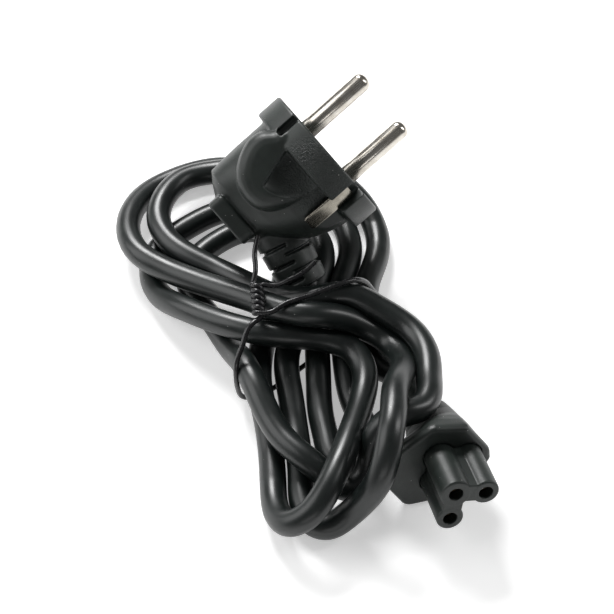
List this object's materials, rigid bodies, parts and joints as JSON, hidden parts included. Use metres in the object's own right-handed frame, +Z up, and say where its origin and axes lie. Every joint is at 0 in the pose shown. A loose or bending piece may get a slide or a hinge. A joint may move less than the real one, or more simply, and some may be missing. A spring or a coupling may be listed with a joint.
{
  "type": "appliance power cord",
  "caption": "Black mains power cord wound in a hank under a wire tie, with an angled plug that has round pins and side earth clips, and a three-barrel appliance connector",
  "frame": {"origin": "middle of the bounding box's underside, on the surface the hank lies on", "axes": "+Z up from the surface; the hank's long way runs along Y, with the connector at -Y and the plug towards +Y; +X to the connector's side"},
  "size_m": [0.092, 0.119, 0.0517],
  "materials": {
    "black_pvc": "moulded black PVC with a fine grain",
    "black_sheath": "satin black PVC sheath",
    "nickel_plate": "bright nickel plate on brass",
    "contact_brass": "plain brass, dull",
    "wire_coating": "glossy black coating on soft wire"
  },
  "bodies": {
    "root": {"plug_body": "black_pvc", "pin_near": "nickel_plate", "pin_far": "nickel_plate", "earth_clip_front": "nickel_plate", "earth_clip_back": "nickel_plate", "connector_body": "black_pvc", "connector_nose": "black_pvc", "sleeve_left": "contact_brass", "sleeve_right": "contact_brass", "sleeve_earth": "contact_brass", "cable": "black_sheath", "tie_wire": "wire_coating"}
  },
  "joints": []
}
